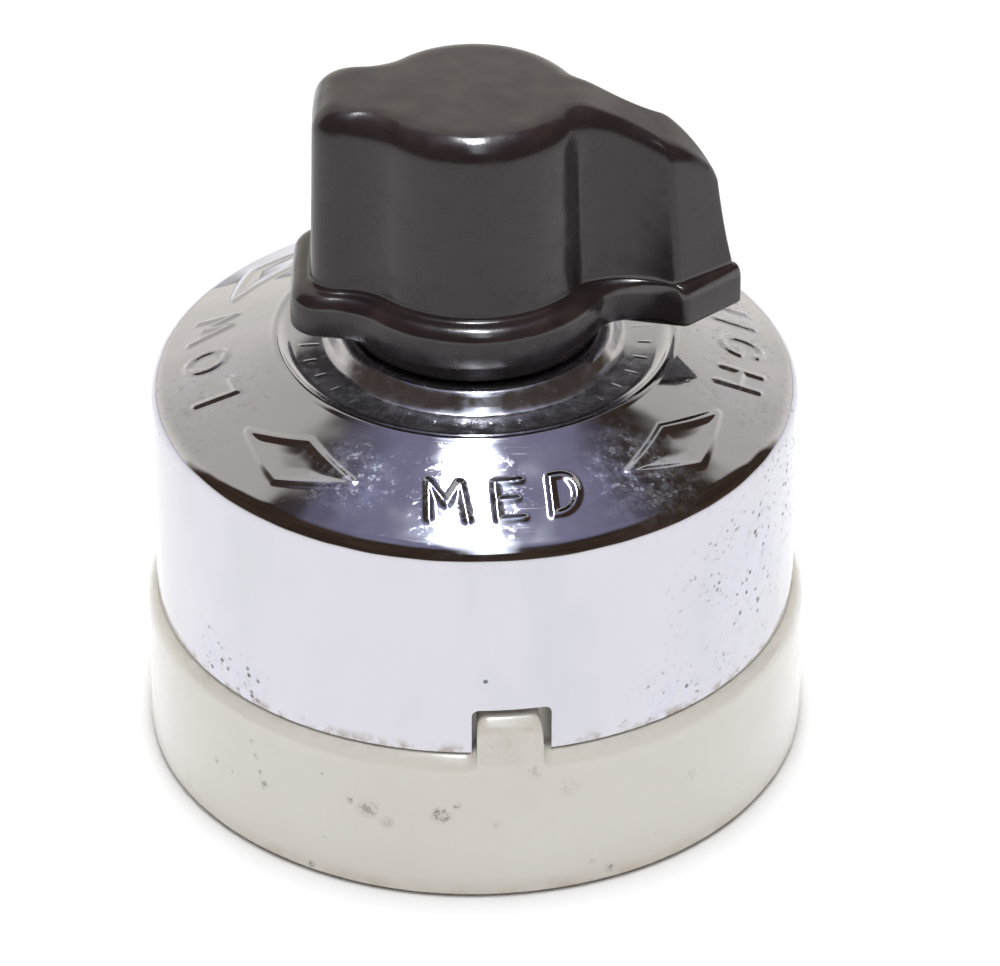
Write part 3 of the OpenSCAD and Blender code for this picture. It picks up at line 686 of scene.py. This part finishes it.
class Nodes:
    """A node tree, with short ways to add to it."""

    def __init__(self, tree):
        self.tree = tree

    def node(self, kind, inputs, out=0, **settings):
        """Adds a node and gives back one of its outputs, or the node itself if out is None."""
        made = self.tree.nodes.new(kind)
        for key, value in settings.items():
            setattr(made, key, value)
        for key, value in inputs.items():
            self.join(value, made.inputs[key])
        return made if out is None else made.outputs[out]

    def join(self, value, target):
        """Links an output to an input, or sets the input to a plain value."""
        if isinstance(value, bpy.types.NodeSocket):
            self.tree.links.new(value, target)
        else:
            target.default_value = value

    def ramp(self, value, low, high, start=0.0, end=1.0):
        """start up to low, end from high on, and a smooth way between."""
        inputs = {"Value": value, 1: low, 2: high, 3: start, 4: end}
        return self.node("ShaderNodeMapRange", inputs, interpolation_type="SMOOTHSTEP")

    def times(self, a, b):
        return self.node("ShaderNodeMath", {0: a, 1: b}, operation="MULTIPLY")

    def mix(self, factor, a, b):
        """Colour a where the factor is 0 and b where it is 1."""
        colours = {6: (*a, 1) if isinstance(a, tuple) else a, 7: (*b, 1) if isinstance(b, tuple) else b}
        return self.node("ShaderNodeMix", {0: factor, **colours}, out=2, data_type="RGBA")


class Finish(Nodes):
    """One procedural material. Its lengths are in millimetres."""

    def __init__(self, name):
        self.material = bpy.data.materials.new(name)
        self.material.use_nodes = True
        super().__init__(self.material.node_tree)
        self.shader = self.tree.nodes["Principled BSDF"]
        here = self.tree.nodes.new("ShaderNodeTexCoord").outputs["Object"]
        self.place = self.node("ShaderNodeVectorMath", {0: here, "Scale": 1 / MM}, operation="SCALE")
        parts = self.node("ShaderNodeSeparateXYZ", {0: self.place}, out=None).outputs
        self.x, self.y, self.z = parts

    def set(self, inputs):
        """Sets or links inputs of the material's shader."""
        for key, value in inputs.items():
            if isinstance(value, tuple) and len(value) == 3 and "Color" in key:
                value = (*value, 1)
            self.join(value, self.shader.inputs[key])

    def stretched(self, x, y, z):
        """Places scaled along the axes, so that noise read there is drawn out."""
        return self.node("ShaderNodeVectorMath", {0: self.place, 1: (x, y, z)}, operation="MULTIPLY")

    def noise(self, size, detail=3.0, at=None, rough=0.55):
        """Cloudy noise from 0 to 1 whose features are about size across."""
        inputs = {"Vector": at or self.place, "Scale": 1 / size, "Detail": detail, "Roughness": rough}
        return self.node("ShaderNodeTexNoise", inputs)

    def cells(self, size):
        """Distance from the nearest of a field of scattered points that stand about size apart."""
        return self.node("ShaderNodeTexVoronoi", {"Vector": self.place, "Scale": 1 / size})

    def plus(self, a, b):
        return self.node("ShaderNodeMath", {0: a, 1: b}, operation="ADD")

    def most(self, masks):
        """The highest of several masks."""
        top = masks[0]
        for mask in masks[1:]:
            top = self.node("ShaderNodeMath", {0: top, 1: mask}, operation="MAXIMUM")
        return top

    def near(self, point, inner, outer):
        """1 within inner of a point, 0 beyond outer."""
        away = self.node("ShaderNodeVectorMath", {0: self.place, 1: point}, out=1, operation="DISTANCE")
        return self.ramp(away, inner, outer, 1.0, 0.0)

    def bump(self, height, depth):
        """A normal from a height between 0 and 1 that stands for depth."""
        return self.node("ShaderNodeBump", {"Height": height, "Distance": depth * MM, "Strength": 1.0})

    def on(self, obj):
        """Makes this the object's only material."""
        obj.data.materials.clear()
        obj.data.materials.append(self.material)


def on_wall(degrees, z, r):
    """A point on a round wall, by its angle and height."""
    return r * math.cos(math.radians(degrees)), r * math.sin(math.radians(degrees)), z


# Rust-brown marks on the glaze: angle, height, size and strength
GLAZE_MARKS = [
    (213.3, 7.7, 0.5, 1.0), (222.5, 12.4, 0.5, 0.9), (223.6, 11.0, 0.6, 0.6), (224.4, 9.4, 0.5, 0.5),
    (225.0, 8.2, 1.0, 0.5), (242.3, 9.9, 0.6, 1.0), (245.8, 9.4, 1.8, 0.45), (249.0, 8.2, 1.2, 0.3),
    (258.3, 9.6, 1.4, 0.75), (261.1, 10.8, 0.7, 0.7), (267.9, 8.5, 0.8, 0.3), (274.2, 14.4, 1.2, 0.3),
    (280.0, 12.0, 1.8, 0.2), (284.4, 2.8, 0.5, 0.9), (287.6, 1.6, 0.9, 0.5), (204.2, 2.2, 1.1, 0.4),
    (209.5, 16.4, 1.8, 0.75), (234.8, 1.0, 0.7, 0.6), (304.0, 9.0, 1.4, 0.2), (40.0, 9.0, 1.6, 0.5),
    (75.0, 6.0, 0.7, 0.9), (118.0, 11.0, 1.9, 0.4), (160.0, 7.5, 0.6, 0.8),
]


def glazed_porcelain():
    """Cream glaze with rust-brown marks, dirt along the ledge, a browner band towards the foot, and a bare
    underside.
    """
    f = Finish("glazed_porcelain")
    cloud = f.noise(16, 4)
    grain = f.noise(0.5, 2)
    ragged = f.ramp(f.noise(0.7, 5, rough=0.75), 0.44, 0.58)
    marks = f.most([f.times(f.near(on_wall(a, z, BASE_R), 0.0, size), strength)
                    for a, z, size, strength in GLAZE_MARKS])
    marks = f.times(f.ramp(marks, 0.0, 0.55), f.ramp(ragged, 0.0, 1.0, 0.12, 1.0))
    # browner in patches towards the foot, down where the base meets the floor
    foot = f.times(f.ramp(f.z, 0.2, 2.4, 1.0, 0.0), f.ramp(f.noise(3.5, 4), 0.35, 0.7, 0.25, 1.0))
    dusty = f.noise(2.2, 5)
    high = f.ramp(f.z, LEDGE_Z - 0.9, LEDGE_Z - 0.1)
    ledge_dirt = f.times(high, f.ramp(dusty, 0.4, 0.7, 0.15, 1.0))
    specks = f.times(f.ramp(f.cells(2.6), 0.03, 0.075, 1.0, 0.0), f.ramp(f.noise(5), 0.5, 0.62))
    bare = f.ramp(f.z, 0.02, 0.25, 1.0, 0.0)
    white = f.mix(cloud, (0.75, 0.71, 0.635), (0.82, 0.79, 0.73))
    white = f.mix(f.times(foot, 0.55), white, (0.52, 0.40, 0.26))
    white = f.mix(f.times(ledge_dirt, 0.3), white, (0.42, 0.34, 0.24))
    white = f.mix(f.times(specks, 0.6), white, (0.20, 0.14, 0.09))
    white = f.mix(f.times(marks, 0.8), white, (0.16, 0.11, 0.075))
    white = f.mix(f.times(bare, 0.6), white, (0.66, 0.60, 0.50))
    dull = f.most([marks, f.times(ledge_dirt, 0.5), bare])
    f.set({
        "Base Color": white,
        "Roughness": f.ramp(dull, 0.0, 1.0, 0.2, 0.6),
        "Coat Weight": 1.0,
        "Coat Roughness": 0.16,
        "Subsurface Weight": 0.12,
        "Subsurface Radius": (1.0, 0.8, 0.6),
        "Subsurface Scale": 0.0015,
        "Normal": f.bump(f.plus(f.times(f.noise(6, 2), 0.9), f.times(grain, 0.03)), 0.16),
    })
    return f


# Where the plating is pitted: a point and how far the pits spread from it
PITTED = [
    (on_wall(322, 28, 31), 2, 15), (on_wall(300, 17, 31), 1, 7), (on_wall(343, 33, 31), 4, 14),
    (on_wall(212, 19, 31), 1, 5), (on_wall(220, 18, 31), 1, 4), (on_wall(8, 39, 24), 3, 12),
    (on_wall(340, 39, 25), 3, 9), (on_wall(188, 39, 25), 3, 10), (on_wall(60, 30, 31), 2, 12),
    (on_wall(130, 26, 31), 1, 14),
]


def worn_chrome():
    """Chrome plate, pitted in patches, hazy on the dial's front with a painted bluish-white sheen there, and
    stained at the foot.
    """
    f = Finish("worn_chrome")
    pitted = f.most([f.near(*spot) for spot in PITTED])
    patchy = f.ramp(f.noise(3.2, 4), 0.38, 0.56)
    pits = f.ramp(f.cells(0.85), 0.16, 0.38, 1.0, 0.0)
    pits = f.times(f.times(pits, f.ramp(f.noise(0.8, 2), 0.42, 0.58)), f.times(pitted, patchy))
    stains = f.times(f.ramp(f.noise(1.3, 5, rough=0.7), 0.52, 0.68), f.times(pitted, patchy))
    stray = f.times(f.ramp(f.cells(5.5), 0.02, 0.04, 1.0, 0.0), f.ramp(f.noise(7), 0.45, 0.6))
    pits = f.times(pits, f.ramp(f.z, WALL_END - 0.5, WALL_END + 1.5, 1.0, 0.45))
    pits = f.most([pits, stray, f.near(on_wall(265.9, 24.2, COVER_R), 0.14, 0.3)])
    # spots on the dial's front: real haze and flecks, and where a bluish sheen is painted
    haze_and_sheen_spots = f.most([f.near(on_wall(263, 40, 25), 1, 10), f.near(on_wall(300, 40, 25), 1, 10),
                      f.near(on_wall(236, 40, 24), 1, 8), f.times(pitted, 0.5)])
    flecks = f.times(f.ramp(f.noise(0.75, 4, rough=0.65), 0.46, 0.66), haze_and_sheen_spots)
    ring = f.near((0, 0, RECESS_Z), RECESS_R - 0.5, RECESS_R + 0.4)
    smears = f.ramp(f.noise(9, 3, at=f.stretched(1, 1, 0.4)), 0.4, 0.75)
    scratches = f.ramp(f.noise(1.0, 2, at=f.stretched(0.12, 9, 2.5)), 0.62, 0.72)
    foot = f.ramp(f.z, COVER_FOOT + 0.1, COVER_FOOT + 1.6, 1.0, 0.0)
    foot = f.times(foot, f.ramp(f.noise(1.6, 4), 0.42, 0.7))
    ridge = f.node("ShaderNodeAttribute", {}, out="Fac", attribute_name="wear")
    # blotchy haze on the dial's front, painted lighter and bluer as a sheen round the lamp's reflection
    bloom_and_painted_sheen = f.times(f.ramp(f.noise(2.0, 6, rough=0.7), 0.42, 0.62), f.ramp(haze_and_sheen_spots, 0.25, 0.8))
    metal = f.mix(smears, (0.63, 0.62, 0.67), (0.58, 0.58, 0.62))
    metal = f.mix(f.times(flecks, 0.4), metal, (0.46, 0.47, 0.55))
    metal = f.mix(f.times(bloom_and_painted_sheen, 0.7), metal, (0.60, 0.63, 0.80))
    metal = f.mix(f.times(foot, 0.6), metal, (0.36, 0.29, 0.20))
    metal = f.mix(f.times(stains, 0.4), metal, (0.33, 0.33, 0.35))
    metal = f.mix(f.times(pits, 0.85), metal, (0.12, 0.115, 0.11))
    shine = f.ramp(smears, 0.0, 1.0, 0.06, 0.13)
    shine = f.most([shine, f.times(flecks, 0.33), f.times(scratches, 0.15), f.times(pits, 0.5),
                    f.times(ring, f.ramp(f.noise(1.2, 4), 0.3, 0.7, 0.12, 0.28))])
    haze = f.times(f.ramp(f.noise(1.7, 5, rough=0.7), 0.4, 0.66, 0.03, 0.26), haze_and_sheen_spots)
    dull = f.most([haze, f.times(bloom_and_painted_sheen, 0.2), f.times(ring, 0.1), f.times(flecks, 0.12),
                   f.times(pits, 0.8), f.times(foot, 0.5), f.times(ridge, 0.04)])
    height = f.plus(f.times(f.noise(11, 2), 1.0), f.times(pits, -0.06))
    f.set({
        "Base Color": metal,
        "Metallic": f.ramp(dull, 0.0, 1.0, 1.0, 0.0),
        "Roughness": shine,
        "Normal": f.bump(height, 0.25),
    })
    return f


def worn_bakelite():
    """Brown-black moulding, satin on its walls, worn lighter on its top, and painted lighter along the
    skirt's rim as a highlight.
    """
    f = Finish("worn_bakelite")
    cloud = f.noise(5, 4)
    rubbed_and_sheen = f.ramp(f.noise(3, 4), 0.4, 0.7)
    edge = f.node("ShaderNodeAttribute", {}, out="Fac", attribute_name="wear")
    dust = f.ramp(f.cells(3.4), 0.012, 0.024, 1.0, 0.0)
    hairs = f.ramp(f.noise(0.8, 2, at=f.stretched(0.2, 5, 1.6)), 0.64, 0.74)
    brown = f.mix(cloud, (0.015, 0.0100, 0.0115), (0.027, 0.0185, 0.0200))
    # lighter brown: wear on the knob's top, and a painted highlight on the skirt's rim
    brown = f.mix(f.times(f.times(edge, rubbed_and_sheen), 0.5), brown, (0.050, 0.036, 0.030))
    brown = f.mix(f.times(dust, 0.6), brown, (0.30, 0.27, 0.24))
    satin = f.ramp(f.noise(2.4, 5), 0.35, 0.7, 0.19, 0.3)
    f.set({
        "Base Color": brown,
        "Roughness": f.times(f.most([satin, f.times(hairs, 0.42)]), f.ramp(edge, 0.1, 0.9, 1.0, 0.8)),
        "Specular IOR Level": f.ramp(edge, 0.1, 0.9, 0.52, 0.95),
        "Normal": f.bump(f.plus(f.times(f.noise(7, 2), 0.9), f.times(f.noise(0.25, 2), 0.03)), 0.2),
    })
    return f


def worn_metal(name, bright, tarnish, shine, spread=0.5, roll=(1.0, 1.0, 1.0)):
    """A metal whose tarnish lies in clouds, with fine marks drawn out along one way."""
    f = Finish(name)
    clouds = f.ramp(f.noise(2.6, 5), 0.38, 0.72)
    specks = f.times(f.ramp(f.cells(1.1), 0.08, 0.2, 1.0, 0.0), f.ramp(f.noise(1.7), 0.5, 0.62))
    drawn = f.noise(0.5, 3, at=f.stretched(*roll))
    colour = f.mix(f.times(clouds, spread), bright, tarnish)
    colour = f.mix(f.times(specks, 0.6), colour, tuple(c * 0.35 for c in tarnish))
    f.set({
        "Base Color": colour,
        "Metallic": f.ramp(specks, 0.0, 1.0, 1.0, 0.3),
        "Roughness": f.plus(f.ramp(clouds, 0.0, 1.0, shine, shine + 0.2), f.times(drawn, 0.12)),
        "Normal": f.bump(drawn, 0.012),
    })
    return f


def matt_board(name, light, dark, fibre_size, roll, shine):
    """Pressed fibre or moulded phenolic: mottled, with fine strands."""
    f = Finish(name)
    clouds = f.ramp(f.noise(3.0, 5), 0.35, 0.7)
    strands = f.ramp(f.noise(fibre_size, 4, at=f.stretched(*roll)), 0.35, 0.7)
    colour = f.mix(clouds, light, dark)
    colour = f.mix(f.times(strands, 0.35), colour, tuple(c * 0.6 for c in dark))
    f.set({
        "Base Color": colour,
        "Roughness": f.ramp(strands, 0.0, 1.0, shine, shine + 0.2),
        "Normal": f.bump(strands, 0.03),
    })
    return f


def sealing_pitch():
    """Black compound with dust on it."""
    f = Finish("sealing_pitch")
    dust = f.ramp(f.noise(0.7, 5, rough=0.7), 0.5, 0.72)
    colour = f.mix(f.noise(1.5, 4), (0.012, 0.011, 0.010), (0.030, 0.026, 0.022))
    f.set({
        "Base Color": f.mix(f.times(dust, 0.5), colour, (0.10, 0.085, 0.065)),
        "Roughness": f.ramp(dust, 0.0, 1.0, 0.32, 0.75),
        "Normal": f.bump(f.noise(0.9, 4), 0.08),
    })
    return f


def plain_floor():
    """White paper."""
    f = Finish("plain_floor")
    f.set({
        "Base Color": f.mix(f.noise(40, 3), (0.93, 0.93, 0.93), (0.95, 0.95, 0.95)),
        "Roughness": f.ramp(f.noise(8, 3), 0.3, 0.7, 0.75, 0.85),
    })
    return f


def dress_frame():
    """Gives every part that stays as CAD the finish for its material."""
    finishes = {
        "brass": worn_metal("dull_brass", (0.66, 0.47, 0.20), (0.33, 0.22, 0.10), 0.24, 0.6, (1, 1, 8)),
        "steel": worn_metal("zinc_steel", (0.56, 0.56, 0.55), (0.30, 0.28, 0.25), 0.28, 0.5, (1, 6, 1)),
        "copper": worn_metal("rolled_copper", (0.66, 0.34, 0.19), (0.28, 0.13, 0.08), 0.26, 0.6, (7, 1, 1)),
        "bronze": worn_metal("bronze_strip", (0.58, 0.38, 0.19), (0.27, 0.16, 0.09), 0.25, 0.6, (1, 7, 1)),
        "spring_steel": worn_metal("blued_wire", (0.20, 0.21, 0.25), (0.09, 0.08, 0.09), 0.28, 0.7),
        "fibre": matt_board("red_fibre", (0.20, 0.075, 0.045), (0.12, 0.040, 0.026), 0.35, (1, 1, 6), 0.6),
        "phenolic": matt_board("phenolic", (0.10, 0.045, 0.024), (0.05, 0.024, 0.015), 0.25, (4, 1, 1), 0.42),
    }
    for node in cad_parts.values():
        finish = finishes.get(node.data.materials[0].name.split(".")[0])
        if finish:
            finish.on(node)


# ---- stage ----


def floor():
    """A white floor so wide that its edge is never seen."""
    half = 4000
    corners = [(-half, -half, 0), (half, -half, 0), (half, half, 0), (-half, half, 0)]
    obj = make_mesh("studio_floor", corners, [(0, 1, 2, 3)])
    plain_floor().on(obj)


class Sky(Nodes):
    """The room that the metal reflects, built from directions: X to the right, -Y to the camera."""

    def __init__(self):
        world = bpy.data.worlds.new("studio")
        bpy.context.scene.world = world
        world.use_nodes = True
        super().__init__(world.node_tree)
        self.way = self.tree.nodes.new("ShaderNodeTexCoord").outputs["Generated"]

    def along(self, direction, low, high):
        """0 up to low and 1 from high on, of how far the view leans towards a direction."""
        lean = self.node("ShaderNodeVectorMath", {0: self.way, 1: direction}, out=1, operation="DOT_PRODUCT")
        return self.ramp(lean, low, high)


def studio_world():
    """A pale backdrop behind the switch, an unlit room in front and above, and a long lamp overhead."""
    sky = Sky()
    haze = sky.node("ShaderNodeTexNoise", {"Vector": sky.way, "Scale": 3.0, "Detail": 3.0})
    room = sky.mix(haze, (0.012, 0.010, 0.008), (0.085, 0.055, 0.038))
    ceiling = sky.mix(haze, (0.16, 0.15, 0.25), (0.31, 0.31, 0.43))
    dark = sky.mix(sky.along((0, 0, 1), 0.84, 0.95), room, ceiling)
    in_front = sky.times(sky.along((0, -1, 0), -0.47, -0.37), sky.along((0, 0, 1), -0.02, 0.03))
    backdrop = sky.mix(sky.along((0, 0, 1), 0.0, 0.75), (0.92, 0.88, 0.79), (0.56, 0.54, 0.49))
    shade = sky.mix(in_front, backdrop, dark)
    lamp = sky.times(sky.along((1, 0, 0), -0.16, -0.03), sky.along((-1, 0, 0), -0.14, -0.03))
    lamp = sky.times(lamp, sky.along((0, -0.35, 0.937), 0.855, 0.875))
    shade = sky.mix(lamp, shade, (2.4, 2.6, 2.9))
    background = sky.tree.nodes["Background"]
    sky.tree.links.new(shade, background.inputs["Color"])
    background.inputs["Strength"].default_value = 1.0


def soft_light(name, at, width, depth, power, colour, reflects):
    """An oblong area light aimed at the switch: width along X, depth along Y. reflects: seen in metal."""
    lamp = bpy.data.lights.new(name, "AREA")
    lamp.shape = "RECTANGLE"
    lamp.size = width
    lamp.size_y = depth
    lamp.energy = power
    lamp.color = colour
    obj = bpy.data.objects.new(name, lamp)
    bpy.context.scene.collection.objects.link(obj)
    obj.location = at
    obj.rotation_euler = (math.atan2(at[1], at[2]), 0, 0)
    obj.visible_glossy = reflects
    return obj


def studio_lights():
    """The lamp overhead, and a broad fill that isn't reflected."""
    soft_light("overhead", (0.0, 0.01, 1.0), 0.11, 0.38, 5.0, (0.97, 0.99, 1.0), True)
    soft_light("wide_fill", (0.0, -0.5, 1.7), 2.0, 1.6, 20.5, (1.0, 0.99, 0.97), False)


CAMERA_AZIMUTH, CAMERA_ELEVATION = math.radians(-5.85), math.radians(33.69)
CAMERA_AWAY = 0.6
CAMERA_RIGHT, CAMERA_UP = 0.00244, 0.00501


def camera():
    """Looks down on the switch from the front, at its tab, aimed a little beside and above its middle."""
    azimuth, elevation = CAMERA_AZIMUTH, CAMERA_ELEVATION
    flat = math.cos(elevation)
    back = Vector((math.sin(azimuth) * flat, -math.cos(azimuth) * flat, math.sin(elevation)))
    right = Vector((math.cos(azimuth), math.sin(azimuth), 0))
    up = back.cross(right)
    middle = Vector((0, 0, 0.020))
    lens = bpy.data.cameras.new("camera")
    lens.lens = 222.5
    lens.sensor_width = 36
    lens.clip_start, lens.clip_end = 0.05, 20
    obj = bpy.data.objects.new("camera", lens)
    bpy.context.scene.collection.objects.link(obj)
    obj.location = middle + back * CAMERA_AWAY
    aim = middle + right * CAMERA_RIGHT + up * CAMERA_UP
    obj.rotation_mode = "QUATERNION"
    obj.rotation_quaternion = (aim - obj.location).to_track_quat("-Z", "Y")
    bpy.context.scene.camera = obj


# ---- the whole switch ----


def stand_in(piece, node, body, finish):
    """Puts a detailed piece in the place of a CAD node."""
    finish.on(piece)
    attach(piece, body)
    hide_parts(node)


stand_in(porcelain_base(), "porcelain_base", "body", glazed_porcelain())
stand_in(cover_shell(), "cover_shell", "body", worn_chrome())
stand_in(knob(), "knob", "knob", worn_bakelite())
stand_in(sealing_plugs(), "sealing_plugs", "body", sealing_pitch())
dress_frame()
floor()
studio_world()
studio_lights()
camera()
bpy.context.scene.view_settings.view_transform = "Standard"
